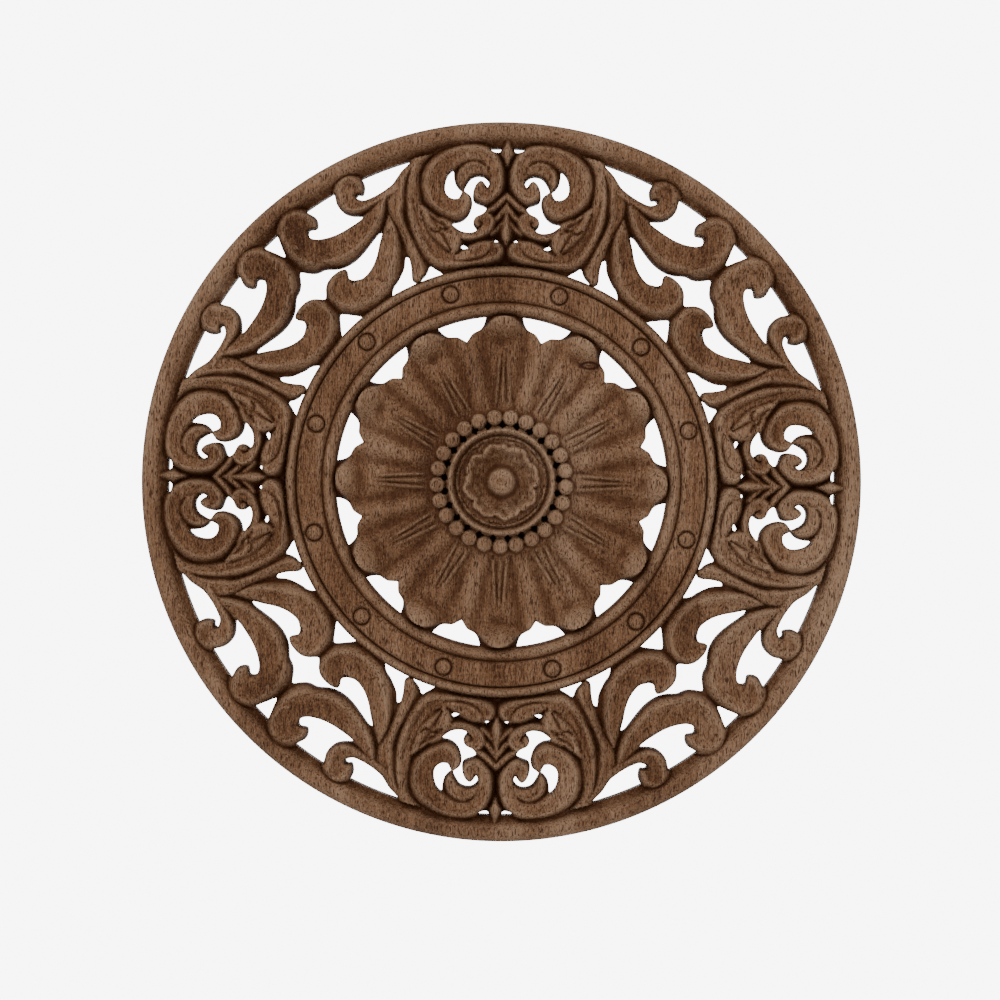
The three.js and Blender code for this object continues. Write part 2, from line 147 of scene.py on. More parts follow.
# The carved strokes of half a motif, from its axis (0 degrees) to the middle between two motifs (45): the
# crest's height as a share of the full one, how far the crest leans to the right (+) or left (-) of the
# line's way, how hollow the broad side is, and the line's angle, share and half width in shares
STROKES = {
    "c_scroll": (0.86, -0.45, 0.9, [
        [13.2, 101, 1.4], [15.5, 95, 2.6], [16.9, 88, 3.6], [18.3, 72, 5.6], [19.1, 54, 6.6],
        [19.1, 38, 6.8], [18.2, 24, 8.2], [16.4, 14.5, 8.4], [13.4, 9.4, 5.4], [10, 6.9, 2.8],
        [6.6, 7.2, 3.2], [3.8, 9.6, 5], [2.1, 14.2, 6], [2.4, 19.2, 3.4], [3.1, 21.6, 1]]),
    "stem": (0.8, -0.4, 0.7, [
        [23.6, 2.6, 2.6], [22.6, 9, 6.6], [22, 18, 5.6], [22, 32, 3.8], [22.3, 48, 3.6],
        [22.3, 60, 5.4], [21.6, 69, 7.4], [20.4, 78, 5.8], [18.3, 89, 3.4], [14.8, 100, 2]]),
    "outer_curl": (0.85, 0.6, 0.6, [
        [20.8, 80, 3], [22.8, 78.6, 3.4], [25.2, 77.4, 3.6], [27.9, 77.4, 4.8], [29.6, 81.6, 7],
        [30.1, 89, 7.8], [29.4, 95, 7.6]]),
    "outer_curl_head": (0.9, 0.45, 0.9, [
        [29.9, 90, 7.6], [29.3, 97, 9.4], [28.4, 100, 7.6], [27.6, 96, 8.4], [27, 90, 3.8],
        [26.9, 86.4, 1.4]]),
    "long_leaf": (1, 0.5, 1, [
        [23.2, 77, 1], [25.2, 69, 4.8], [27.4, 62.6, 8], [30.4, 57.6, 10.6], [34.4, 55.4, 12.6],
        [38.2, 59.8, 13.4], [41.2, 70, 14.4], [41.9, 80, 13], [41.5, 90, 12.6]]),
    "long_leaf_head": (1.05, 0.45, 1, [
        [41.7, 84, 12.6], [41.2, 92, 13.6], [40.2, 97.4, 11.6], [38.8, 94, 11], [37.7, 88.4, 6.4],
        [37.1, 82.2, 1.8]]),
    "inner_leaf": (1, 0.5, 1, [
        [24, 60, 1], [24.8, 49, 5.2], [26.1, 39.4, 8.4], [28.6, 28.6, 11.4], [31.8, 18.8, 12.8],
        [35.6, 14.8, 12.6], [39.2, 17.8, 13.6], [41.4, 27, 13.6], [40.8, 34, 12.4], [39.4, 37.6, 8]]),
    "heart_scroll": (1, -0.52, 0.8, [
        [4.8, 73, 1.6], [5.4, 67, 4.6], [5.5, 61.5, 5.8], [4.3, 58.4, 6.4], [2.9, 61, 5.4], [2, 67, 5.4],
        [1.9, 77, 5.8], [2.6, 87, 6.2], [4.2, 93.8, 6.6], [7, 96, 6.8], [10.2, 92.6, 8.4],
        [12.8, 84, 10.8], [14, 75, 10.2], [14, 64, 9.8], [12.8, 56, 9.2], [10.6, 51.5, 9.8],
        [8.8, 54, 7.4], [8.2, 59.5, 4.2], [8.6, 65.4, 1.4]]),
    "tongue": (0.72, -0.5, 0.6, [
        [3.5, 75.5, 1.8], [4.5, 81, 4.4], [6, 82.8, 6.2], [7.6, 80.8, 5.8], [8.5, 75.5, 4.4],
        [8.8, 70.5, 2.8], [8.6, 66, 1.2]]),
    "leaf_spray": (1.05, 0.5, 0.5, [
        [17.2, 59, 1.4], [16.7, 52, 4.6], [16.2, 46, 7.2], [15.6, 39, 8.4], [15, 32, 8], [14.3, 26, 5.4],
        [13.6, 20, 2.4], [13.3, 15.6, 1]]),
    "leaf_lobe": (1.05, -0.3, 0.3, [
        [14.6, 34, 2.4], [13.4, 29.6, 7.6], [12.9, 24.6, 6.4], [12.9, 19.4, 3.2], [13.2, 15.6, 1]]),
    "leaf_side": (0.9, 0, 0, [
        [15.6, 45, 3], [14.2, 43, 5], [12.9, 40.2, 4.6], [11.9, 37.6, 3]]),
    "bottom_leaf": (0.72, 0.5, 0.3, [
        [3.2, 20.2, 1.8], [4.4, 17.8, 4.8], [5.7, 15.6, 6.4], [7.4, 13.9, 6.2], [9.4, 12.4, 5],
        [11.4, 11.8, 3.6], [14, 12.6, 1.6]]),
    "small_curl": (0.8, -0.75, 0.9, [
        [11.9, 31.6, 2.4], [10.4, 29.2, 2.6], [8.8, 28, 3], [7.2, 28.4, 3.4], [5.6, 30.4, 4],
        [4.3, 34, 4.6], [3.9, 38.4, 4.8], [4.6, 42, 4.6], [5.8, 42.4, 4.4], [6.5, 39.6, 3.8],
        [6.4, 36.8, 2.2]]),
    "curl_eye": (0.3, 0, 0, [[5.3, 34.4, 2], [5.1, 37.4, 2.6], [5.6, 40, 2.2]]),
    "upper_rib": (0.7, 0, 0, [
        [-0.8, 61, 2], [0.9, 55.6, 2.7], [2.4, 50.4, 2.6], [4.4, 45.6, 2.2]]),
    "middle_rib": (0.62, 0, 0, [
        [-0.8, 55, 1.6], [0.5, 47.6, 2.1], [1.7, 41.8, 2.1], [3.4, 37.2, 1.9]]),
    "lower_rib": (0.5, 0, 0, [
        [-0.8, 45, 1.6], [0.5, 37.8, 1.9], [1.6, 33.4, 1.9], [3.4, 28.8, 1.6]]),
    "bud": (0.85, 0, 0, [
        [0, 49, 0.8], [0, 40, 2.2], [0, 30, 4], [0, 24, 3.2], [0, 19.6, 1.2]]),
    "finial": (0.85, 0, 0, [
        [0, 107, 1], [0, 101, 2], [0, 93, 5], [0, 88, 2.6], [0, 84.6, 0.9]]),
}

# The strokes that lap over the rim
OVER_RIM = ("outer_curl_head", "long_leaf_head", "heart_scroll", "finial")

# Fine cuts in the strokes: angle, share and half width in shares, with the depth of each in millimetres
VEINS = [
    (1.9, [[17.6, 55, 0.9], [17.6, 44, 1.5], [17.2, 35, 1.6], [16.2, 27.5, 1.6], [15, 22.4, 1.3],
        [13.8, 17.6, 0.7]]),
    (1.7, [[16.2, 52, 0.8], [15.7, 46, 1.7], [15, 40, 2.2], [14.4, 33, 1.9], [13.9, 26, 1.5],
        [13.4, 19, 0.8]]),
    (1.7, [[15.5, 47.5, 1], [14.7, 43.4, 1.8], [13.6, 40.4, 1]]),
    (1.6, [[16.7, 40, 0.8], [16.1, 36.5, 1.4], [15.2, 35.5, 0.8]]),
    (1.6, [[14.4, 37.4, 0.9], [13.5, 35.8, 2], [12.5, 33.4, 1.4]]),
    (0.9, [[3.2, 21, 0.6], [3.9, 16.2, 1], [4.8, 11.8, 1], [6.2, 9.2, 0.9], [8.4, 8, 0.9],
        [11, 8.4, 0.8], [13.4, 10.4, 0.5]]),
    (0.4, [[4.9, 20.2, 0.5], [5.9, 17, 0.7], [7.6, 14.2, 0.7], [9.8, 12.2, 0.5]]),
    (0.4, [[4.8, 82.6, 0.5], [6.2, 84.2, 0.8], [7.5, 82, 0.8], [8.4, 76, 0.5]]),
    (0.8, [[39.5, 51, 0.7], [40.5, 56, 1.3], [41.6, 62, 0.7]]),
    (0.6, [[30.4, 12, 0.6], [31.6, 15.6, 1], [32.6, 20, 0.5]]),
    (0.7, [[18.6, 66, 0.6], [18.8, 50, 1.2], [18.5, 34, 1.2], [17.6, 22, 0.8]]),
]

# The cuts that set off the scrolls and heads that lap over the rim
RIM_CUTS = [
    (0.7, [[25.6, 99.4, 0.6], [26.7, 103.4, 0.9], [28.4, 105.6, 0.9], [30.2, 104.2, 0.9],
        [31.5, 99.6, 0.6]]),
    (0.8, [[36.6, 99.4, 0.6], [37.8, 104.4, 0.9], [39.8, 106.8, 0.9], [41.8, 105.2, 0.9],
        [43.5, 99.6, 0.6]]),
    (0.6, [[2.4, 98.4, 0.6], [4.2, 102, 0.8], [7, 104.4, 0.8], [9.4, 104.4, 0.8], [11.8, 102.4, 0.8],
        [13.6, 98.6, 0.6]]),
]

# The sawn openings of half a motif, with the ones on its edges drawn past the middle line
OPENINGS = {
    "beside_finial": [[1.2, 96], [1.3, 106], [3.4, 106], [2.7, 95.6], [1.9, 94.8]],
    "heart_hook": [
        [3.4, 69.5], [3.7, 73], [4.5, 75.8], [5.6, 76.6], [6.7, 75.3], [7.6, 71.5], [8.4, 65.3],
        [7.3, 60.5], [7.05, 57.5], [7.1, 54], [8, 46.5], [9, 43], [10.2, 41.2], [11.8, 40.8], [11.9, 39],
        [11, 35.5], [9.8, 32.3], [8, 30.6], [6.7, 32.2], [7.3, 38], [6.7, 42.3], [4.8, 45.6], [4.25, 50.2],
        [6.5, 55.5], [6.85, 58.5], [6.7, 62], [6.3, 66.5], [5.6, 70.3], [4.9, 71.6], [4.3, 69.5],
        [3.8, 66.6]],
    "crescent": [
        [9.9, 83.5], [10.9, 80.8], [11.6, 76], [12, 70], [11.9, 64.5], [11.2, 60.8], [10.4, 59.4],
        [9.7, 60.2], [8.8, 65.2], [9.4, 68.5], [9.85, 72.5], [9.95, 77]],
    "eye": [[9.1, 18.6], [9.8, 18], [10.6, 18.8], [10.9, 21], [10.4, 22.4], [9.6, 20.8]],
    "pinhole": [[1.8, 22], [2.4, 21], [2.9, 22.3], [2.4, 24.2]],
    "left_of_spur": [
        [16.8, -4], [16.9, 2.5], [18.6, 9], [19.2, 11.4], [19.7, 11.2], [20.3, 8.6], [21.4, 5.6],
        [22.8, 3.2], [22.8, -4]],
    "right_of_spur": [
        [23.6, 24.4], [24.1, 25.9], [25.3, 19.3], [26.2, 16], [28.6, 10.1], [30, 7.9], [31.4, 2.6],
        [31.2, -4], [24.4, -4], [24.4, 2.8], [24.9, 5.6], [24.1, 13.5], [23.7, 19]],
    "under_leaf": [[41.2, -4], [41.4, 2.8], [43.2, 10], [44.2, 13.8], [45, 15.9], [46, 12], [46, -4]],
    "between_leaves": [
        [26.7, 52], [27.3, 52.4], [29.8, 48.2], [31.4, 45.6], [33, 43.6], [34.6, 42.5], [36.2, 42.6],
        [37.6, 43.7], [39, 46.2], [40.2, 49.7], [41, 51.6], [42.2, 52.9], [43.1, 55], [44, 58.8],
        [45, 63.5], [46, 58], [46, 38], [45, 33], [43.3, 38.6], [42.2, 41.2], [40.8, 42.5], [39.2, 42.5],
        [38, 41.8], [37.3, 40], [37.9, 34.5], [37.8, 31.5], [36, 27.1], [35, 26.5], [33.8, 27.3],
        [32.2, 29.7], [30.8, 33.2], [29.5, 37.8], [28.4, 43]],
    "over_long_leaf": [
        [31.2, 106], [31.4, 95], [31.8, 88], [31.3, 79.5], [30.4, 75.2], [28.6, 70], [28.9, 68.7],
        [30.2, 67.6], [32, 67.2], [34, 67.4], [35.6, 68.6], [37.1, 70.8], [38.5, 74.3], [39.2, 78.5],
        [39.1, 82], [38.5, 84.3], [37.1, 82], [36.2, 88.5], [36.9, 97], [36.9, 106]],
    "between_heads": [[43.3, 106], [43.5, 96.5], [44.3, 87], [45, 80.6], [46, 84], [46, 106]],
    "over_stem": [
        [16.9, 106], [17, 97.3], [19, 91.6], [21, 85], [22.4, 82.4], [24, 80.8], [25.8, 80.3],
        [27.3, 81.3], [28.2, 86.3], [27.6, 87.8], [26.9, 86.2], [26, 91], [25.8, 95], [25.9, 106]],
}

# Half of the sawn opening between two petal tips: angle from a petal's middle, share of the ring's radius
PETAL_GAP = [[6.4, 1.02], [6.6, 0.99], [7.4, 0.957], [8.7, 0.928], [10.2, 0.918], [12, 0.908], [13.3, 0.89],
             [14.4, 0.873]]
PETAL_GAP_MIDDLE = 0.866


def openings():
    """The closed outlines of the sector's openings. The medallion ring and the rim bound them later."""
    loops = [smooth_line(on_band(points), OUTLINE_STEP, closed=True) for points in OPENINGS.values()]
    for start in (0.0, PETAL_PITCH):
        half = [[start + degrees, share] for degrees, share in PETAL_GAP]
        rest = [[2 * start + PETAL_PITCH - degrees, share] for degrees, share in half[::-1]]
        gap = np.array(half + [[start + PETAL_PITCH / 2, PETAL_GAP_MIDDLE]] + rest)
        loops.append(smooth_line(polar(gap[:, 0], gap[:, 1] * RING_INNER), OUTLINE_STEP, closed=True))
    return loops


def inside(points, loop):
    """Which points lie inside a closed outline, by counting the edges to their right."""
    x, y = points[:, 0][:, None], points[:, 1][:, None]
    x1, y1 = loop[:, 0][None], loop[:, 1][None]
    x2, y2 = np.roll(loop[:, 0], -1)[None], np.roll(loop[:, 1], -1)[None]
    crosses = (y1 > y) != (y2 > y)
    rise = np.where(y2 == y1, TINY, y2 - y1)
    at = x1 + (y - y1) / rise * (x2 - x1)
    return (crosses & (x < at)).sum(1) % 2 == 1


def distance_to(points, line):
    """Distance from each point to the nearest sample of a line, and that sample's number."""
    nearest = np.full(len(points), FAR)
    which = np.zeros(len(points), int)
    for start in range(0, len(points), CHUNK):
        part = points[start:start + CHUNK]
        gaps = ((part[:, None] - line[None]) ** 2).sum(-1)
        which[start:start + CHUNK] = gaps.argmin(1)
        nearest[start:start + CHUNK] = np.sqrt(gaps.min(1))
    return nearest, which


def distance_to_any(points, lines):
    """The same distance for several lines."""
    away = np.full(len(points), FAR)
    for line in lines:
        away = np.minimum(away, distance_to(points, line)[0])
    return away


# The band's heights: the deepest ground, how much higher it is elsewhere, the web under the strokes, the
# crest of a full stroke, and a stroke's edge
GROUND = 4.4
SHALLOWER = 2.9
WEB = 8.2
CREST = 12.6
EDGE_HEIGHT = WEB - 0.9

# A stroke's section: what is added to its half width, the half width that reaches the full height, the
# least share of the rise, the bevel, the hollow of the broad side and its lip
STROKE_STEP = 0.5
CUT_STEP = 0.4
WIDER = 0.5
FULL_HALF_WIDTH = 2.6
LEAST_RISE = 0.35
RISE_POWER = 0.6
ROUND_POWER = 2.2
BEVEL = 3.8
BEVEL_EXTRA = 0.5
BEVEL_POWER = 1.6
LEAST_WIDTH = 0.1
CUP = 2.1
CUP_HALF_WIDTH = 4.0
LEAST_CUP = 0.2
CUP_RATE = 3.2
LIP_DROP = 1.6
LIP_WIDTH = 1.6
LIP_SHARE = 0.6
SIDE_SLOPE = 2.6
RIM_SLOPE = 9.0
RIM_LAP = 0.3


def stroke_height(points, rise, lean, cup, line, over_rim):
    """The height of one carved stroke: a bevelled outer side, a crest and a hollowed broad side."""
    samples = smooth_line(on_band(line), STROKE_STEP)
    distance, which = distance_to(points, samples[:, :2])
    after = samples[np.minimum(which + 1, len(samples) - 1), :2]
    ahead = after - samples[np.maximum(which - 1, 0), :2]
    offset = points - samples[which, :2]
    side = np.sign(offset[:, 0] * ahead[:, 1] - offset[:, 1] * ahead[:, 0])
    half = samples[which, 2] + WIDER
    outward = side * distance if lean >= 0 else -side * distance
    to_outer = half - outward
    to_inner = half + outward
    full = WEB + (CREST - WEB) * rise * np.clip(half / FULL_HALF_WIDTH, LEAST_RISE, 1) ** RISE_POWER
    drop = full - EDGE_HEIGHT
    if lean == 0:
        height = full - drop * np.clip(distance / half, 0, 1) ** ROUND_POWER
    else:
        bevel = np.minimum(BEVEL, (1 - abs(lean)) * half + BEVEL_EXTRA)
        height = full - drop * np.clip(1 - to_outer / bevel, 0, 1) ** BEVEL_POWER
        inward = np.clip((to_outer - bevel) / np.maximum(2 * half - bevel, LEAST_WIDTH), 0, 1)
        deepest = cup * CUP * np.clip(half / CUP_HALF_WIDTH, LEAST_CUP, 1)
        height -= deepest * (1 - np.exp(-CUP_RATE * inward))
        height -= LIP_DROP * np.clip(1 - to_inner / np.minimum(LIP_WIDTH, LIP_SHARE * half), 0, 1) ** 2
    height -= SIDE_SLOPE * np.maximum(distance - half, 0)
    if over_rim:
        return height
    return height - RIM_SLOPE * np.maximum(radius_of(points) - RIM_INNER - RIM_LAP, 0)


def cut_depth(points, cuts):
    """How deep a set of fine cuts goes at each point."""
    depth = np.zeros(len(points))
    for deepest, line in cuts:
        samples = smooth_line(on_band(line), CUT_STEP)
        distance, which = distance_to(points, samples[:, :2])
        depth += deepest * bump(distance / samples[which, 2])
    return depth


# Start and width of the ground's fades: higher off the axis, but deep below the small curl. Then how far out
# the strokes go.
OFF_AXIS = (4.0, 2.0)
BESIDE_CURL = (13.0, -1.5)
BELOW_CURL = (105.5, -2.0)
STROKES_END = RIM_OUTER - 5


def band_height(points):
    """The carved scroll band: its strokes over a low ground, with the fine cuts in them."""
    radius = radius_of(points)
    degrees = degrees_of(points)
    beside_axis = fade(degrees, *OFF_AXIS)
    under_curl = fade(degrees, *BESIDE_CURL) * fade(radius, *BELOW_CURL)
    height = GROUND + SHALLOWER * beside_axis * (1 - under_curl)
    for name, stroke in STROKES.items():
        height = np.maximum(height, stroke_height(points, *stroke, name in OVER_RIM))
    height -= cut_depth(points, VEINS)
    height = np.where(radius < RING_OUTER, 0, height)
    return np.where(radius > STROKES_END, 0, height)


# Radius and height across the medallion ring and the rim
RING_PROFILE = np.array([
    [69.3, 8], [69.8, 9.4], [70.8, 10.8], [72.3, 11.5], [73.5, 11.1], [74.3, 9.8], [74.8, 8.9],
    [75.4, 9.7], [76.4, 10.3], [80.5, 10.4], [84.4, 10.2], [85.1, 9.9], [85.7, 8.5], [86.3, 9.9],
    [87, 11], [88.1, 11.5], [89.2, 10.6], [89.9, 8.6]])
RIM_PROFILE = np.array([
    [139.3, 6.9], [140.4, 7.6], [141.6, 9], [142.6, 10.6], [143.6, 11.7], [145, 12.35], [146.4, 12.5],
    [147.8, 12.2], [148.9, 11.4], [149.6, 10.2], [150, 8.6]])


# A patera's round cut and its low dome: rise, distance from its middle and spread
PATERA_CUT = (-1.7, 0.84 * PATERA_RADIUS, 0.5)
PATERA_DOME = (0.7, 0, 2.0)


def ring_height(points):
    radius = radius_of(points)
    height = np.interp(radius, RING_PROFILE[:, 0], RING_PROFILE[:, 1])
    for turn in (PATERA_ANGLE, SECTOR, 2 * SECTOR - PATERA_ANGLE, -PATERA_ANGLE):
        away = np.linalg.norm(points - polar(turn, PATERA_CIRCLE), axis=1)
        height += hump(away, *PATERA_CUT) + hump(away, *PATERA_DOME)
    return np.where((radius > RING_INNER - ON_CIRCLE) & (radius < RING_OUTER + ON_CIRCLE), height, 0)


def rim_height(points):
    radius = radius_of(points)
    height = np.interp(radius, RIM_PROFILE[:, 0], RIM_PROFILE[:, 1])
    return np.where(radius > RIM_INNER - ON_CIRCLE, height, 0)


# The petals' heights: face, tip, the foot of the tip's swelling over the face, and the outer part's lift
PETAL_FACE = 9.4
PETAL_TIP = 14.0
TIP_START = 0.6
LIFT = 0.2

# Start and width of the fades along the radius: the hollows, the lift, the border's cut, the ribs' two ends
# and the fall beyond the tip
GROWTH = (29, 14)
GROWTH_POWER = 0.8
LIFTED = (45, 15)
CUT_FROM = (54, 6)
RIBS_FROM = (31, 3)
RIBS_END = 55
RIBS_TO = (RIBS_END, -8)
FALL_FROM = (64.6, 1.4)

# Humps and hollows, by rise, place and spread: the hollow by the share of the way across, the border and its
# cut from the petal's edge, the ribs from the first cut or the middle, and the dent along the petal
HOLLOW = (-1.8, 0.55, 0.2)
BORDER = (0.7, 0, 3.0)
BORDER_CUT = (-0.9, 0, 0.4)
RIBS = [(-0.7, 0, 0.4), (0.8, 1.0, 0.6), (-0.5, 2.3, 0.6)]
MIDDLE_RIB = (0.7, 0, 0.45)
DENT = (-1.3, 58.6, 2.6)
DENT_WIDTH = 5.4

# The first cut's distance from the middle where the ribs end, and how it fans inwards
RIB_NEAREST = 0.5
RIB_FAN = 0.06

# The tip's swelling and the fall beyond its outline: ovals by place, width and length, size, depth and fade
SWELL = (67.4, 9.6, 8.4)
SWELL_SIZE = 1.15
FALL = (60.5, 8.2, 8.5)
FALL_DEPTH = 5
FALL_EDGE = (1, 0.13)


def oval(x, y, middle, width, length):
    """The distance from an oval's middle, which is 1 on the oval."""
    return np.hypot(x / width, (y - middle) / length)


def flower_height(points):
    """Petals with raised borders, hollows beside a ribbed middle, and an upturned tip behind a dent."""
    radius = radius_of(points)
    turn = (degrees_of(points) + PETAL_PITCH / 2) % PETAL_PITCH - PETAL_PITCH / 2
    x = np.abs(radius * np.sin(np.radians(turn)))
    y = radius * np.cos(np.radians(turn))
    across = np.abs(turn) / (PETAL_PITCH / 2)
    border = (1 - across) * np.radians(PETAL_PITCH / 2) * radius
    grown = fade(radius, *GROWTH) ** GROWTH_POWER
    height = PETAL_FACE + LIFT * fade(radius, *LIFTED)
    height += grown * (hump(across, *HOLLOW) + hump(border, *BORDER))
    height += hump(border, *BORDER_CUT) * fade(radius, *CUT_FROM)
    ribs = fade(radius, *RIBS_FROM) * fade(radius, *RIBS_TO)
    groove_at = RIB_NEAREST + (RIBS_END - radius) * RIB_FAN
    height += ribs * (hump(x, *MIDDLE_RIB) + sum(hump(x - groove_at, *rib) for rib in RIBS))
    height += hump(y, *DENT) * bump(x / DENT_WIDTH)
    tip = np.clip(SWELL_SIZE - oval(x, y, *SWELL), 0, 1)
    height += (PETAL_TIP - PETAL_FACE - TIP_START) * tip * tip * (3 - 2 * tip)
    from_tip = oval(x, np.maximum(y, FALL[0]), *FALL)
    height -= FALL_DEPTH * fade(from_tip, *FALL_EDGE) * fade(radius, *FALL_FROM)
    return height


# The boss from its middle out: radius and height
BOSS_PROFILE = np.array([
    [0, 17.6], [1.2, 17.3], [2.2, BUTTON_HEIGHT], [3.4, 17.6], [4.6, 16.6], [5.3, 15.2], [6.0, 11.4],
    [7.2, 9.8], [9.5, 10.2], [11.2, 11.6], [12.4, 13.6], [13.2, 14.8], [14.6, 14.9], [15.3, 12.8],
    [16.4, 12.5], [17.2, 12.6], [17.6, 11.8], [18.1, 13.4], [18.7, 13.6], [19.2, 12.6], [19.6, 12.2],
    [20.0, 13.6], [20.5, 15.5], [21.3, BOSS_HEIGHT], [21.9, 16.2], [22.4, 14.2], [22.9, 12.4],
    [24.4, 12.0], [25.6, 10.4], [27.2, 10.0], [30, 9.6], [40, 9.3]])

# The floret: its lobes, the notches' radius and the lobes' reach beyond it, the ragged edge's waves (size,
# number in a turn, start), and the part of the profile that the outline moves
LOBE_COUNT = 8
LOBE_TURN = 10.0
NOTCH_EDGE = 13.3
LOBE_REACH = 2.4
LOBE_POWER = 0.7
EDGE_WAVES = [(0.4, 13, 0), (0.25, 21, 40)]
PROFILE_EDGE = 14.2
EDGE_CIRCLE = 14.6
EDGE_SPREAD = 3.4

# The creases at the notches and the ribs in the lobes' middles: rise, place and spread, round and outwards
CREASE_ROUND = (-0.7, 0, 0.22)
CREASE_OUT = (1, 11.5, 3)
LOBE_RIB_ROUND = (0.5, 1, 0.08)
LOBE_RIB_OUT = (1, 10.5, 2.5)

# The beads, and the pits drilled between them and the boss
BEAD_COUNT = 25
BEAD_RADIUS = 3.5
BEAD_CIRCLE = 26.7
BEAD_TOP = 14.6
BEAD_DOME = 0.95
BEAD_POWER = 3
BEAD_SLOPE = 9
PIT_DEPTH = 6.5
PIT_SIZE = 1.35
PIT_WIDTH = 1.15
PIT_RADIUS = 23.7
PIT_LENGTH = 1.2
PIT_STEEPNESS = 2.5


def floret_and_boss(radius, degrees):
    """The boss with its raised edge, the lobed floret in its dish and the button."""
    cusp = np.abs(np.sin(np.radians((degrees - LOBE_TURN) * LOBE_COUNT / 2)))
    ragged = sum(rise * np.sin(np.radians(waves * degrees + start)) for rise, waves, start in EDGE_WAVES)
    edge = NOTCH_EDGE + LOBE_REACH * cusp ** LOBE_POWER + ragged
    wave = (edge - PROFILE_EDGE) * np.clip(1 - np.abs(radius - EDGE_CIRCLE) / EDGE_SPREAD, 0, 1) ** 0.5
    height = np.interp(radius - wave, BOSS_PROFILE[:, 0], BOSS_PROFILE[:, 1])
    height += hump(cusp, *CREASE_ROUND) * hump(radius, *CREASE_OUT)
    height += hump(cusp, *LOBE_RIB_ROUND) * hump(radius, *LOBE_RIB_OUT)
    return height


def centre_height(points):
    """The boss, the beads round it and the pits between them."""
    radius = radius_of(points)
    degrees = degrees_of(points)
    height = floret_and_boss(radius, degrees)
    pitch = 360 / BEAD_COUNT
    turn = degrees % pitch - pitch / 2
    x = radius * np.sin(np.radians(turn))
    y = radius * np.cos(np.radians(turn)) - BEAD_CIRCLE
    away = np.hypot(x, y) / BEAD_RADIUS
    fall = 1 - np.sqrt(np.clip(1 - away ** BEAD_POWER, 0, 1))
    dome = BEAD_TOP - BEAD_DOME * BEAD_RADIUS * fall
    dome -= BEAD_SLOPE * BEAD_RADIUS * np.maximum(away - 1, 0)
    between = np.radians(np.abs(turn) - pitch / 2) * radius
    pit = np.clip(PIT_SIZE - np.abs(between) / PIT_WIDTH - np.abs(radius - PIT_RADIUS) / PIT_LENGTH, 0, 1)
    return np.maximum(height, dome) - PIT_DEPTH * np.clip(PIT_STEEPNESS * pit, 0, 1)


def height_at(points):
    """The carved face's height above the back in the sector from 0 to 45 degrees."""
    height = np.maximum(np.maximum(ring_height(points), rim_height(points)), band_height(points))
    height -= cut_depth(points, RIM_CUTS)
    flower = radius_of(points) < RING_INNER - ON_CIRCLE
    return np.where(flower, np.maximum(flower_height(points), height), height)


# How far the face is eased along the openings, and the border that the ring and the rim keep sharp
EASED_DEPTH = 0.7
EASED_WIDTH = 0.5
SHARP_BORDER = 0.3


def rounded_off(points, height, loops):
    """The face's edges along the openings, eased a little."""
    away = distance_to_any(points, loops)
    radius = radius_of(points)
    ring = (radius > RING_INNER - SHARP_BORDER) & (radius < RING_OUTER + SHARP_BORDER)
    moulded = ring | (radius > RIM_INNER - SHARP_BORDER)
    return height - np.where(moulded, 0, EASED_DEPTH * np.exp(-away / EASED_WIDTH))


def triangulate(points, chains, keep):
    """Constrained triangles over points and chains of points, kept where their middles pass the test."""
    coords = [Vector(map(float, p)) for p in points]
    edges = []
    for chain, closed in chains:
        first = len(coords)
        coords.extend(Vector(map(float, p)) for p in chain)
        last = len(chain) - 1
        edges.extend((first + i, first + i + 1) for i in range(last))
        if closed:
            edges.append((first + last, first))
    result = delaunay_2d_cdt(coords, edges, [], 0, MERGE, False)
    places = np.array([tuple(v) for v in result[0]])
    faces = np.array([f for f in result[2] if len(f) == 3])
    middles = places[faces].mean(1)
    faces = faces[keep(middles)]
    a, b, c = places[faces[:, 0]], places[faces[:, 1]], places[faces[:, 2]]
    turn = (b - a)[:, 0] * (c - a)[:, 1] - (b - a)[:, 1] * (c - a)[:, 0]
    faces[turn < 0] = faces[turn < 0][:, ::-1]
    used, flat = np.unique(faces, return_inverse=True)
    return places[used], flat.reshape(faces.shape)


def hex_points(low, high, step):
    """A slightly uneven honeycomb of points over a box, and which of them make a coarser one."""
    columns = np.arange(low[0], high[0], step)
    rows = np.arange(low[1], high[1], step * ROW_SPACING)
    grid_x, grid_y = np.meshgrid(columns, rows)
    grid_x = grid_x + (np.arange(len(rows)) % 2 * step / 2)[:, None]
    coarse = ((np.arange(len(columns)) % 2 == 0)[None] & (np.arange(len(rows)) % 2 == 0)[:, None]).ravel()
    points = np.stack([grid_x.ravel(), grid_y.ravel()], -1)
    points += RNG.uniform(-JITTER, JITTER, points.shape) * step
    return points, coarse


def sector_test(loops, inner, outer):
    """A test for points of the sector that aren't sawn out. The ring and the rim aren't sawn."""
    def keep(points):
        radius = radius_of(points)
        degrees = degrees_of(points)
        ok = (degrees > 0) & (degrees < SECTOR) & (radius > inner) & (radius < outer)
        sawn = np.zeros(len(points), bool)
        for loop in loops:
            sawn |= inside(points, loop)
        solid = ((radius > RING_INNER) & (radius < RING_OUTER)) | (radius > RIM_INNER)
        return ok & ~(sawn & ~solid)
    return keep


def arc(radius, steps):
    return polar(np.linspace(0, SECTOR, steps + 1), radius)


# Circles that the sector's triangles follow, by their number of steps, with the boss's own one first
CENTRE_RADIUS = 31.0
CENTRE_STEPS = 24
SECTOR_CIRCLES = [
    (CENTRE_STEPS, [CENTRE_RADIUS]),
    (60, [RING_INNER]),
    (80, [RING_OUTER]),
    (120, [RIM_INNER, RIM_OUTER]),
    (40, [70.6, 72.3, 73.6, 74.3, 74.8, 75.4, 76.2]),
    (60, [84.5, 85.1, 85.7, 86.3, 87.2, 88.4]),
    (80, [141.4, 142.8, 144.6, 146.6, 148.4, 149.5]),
]

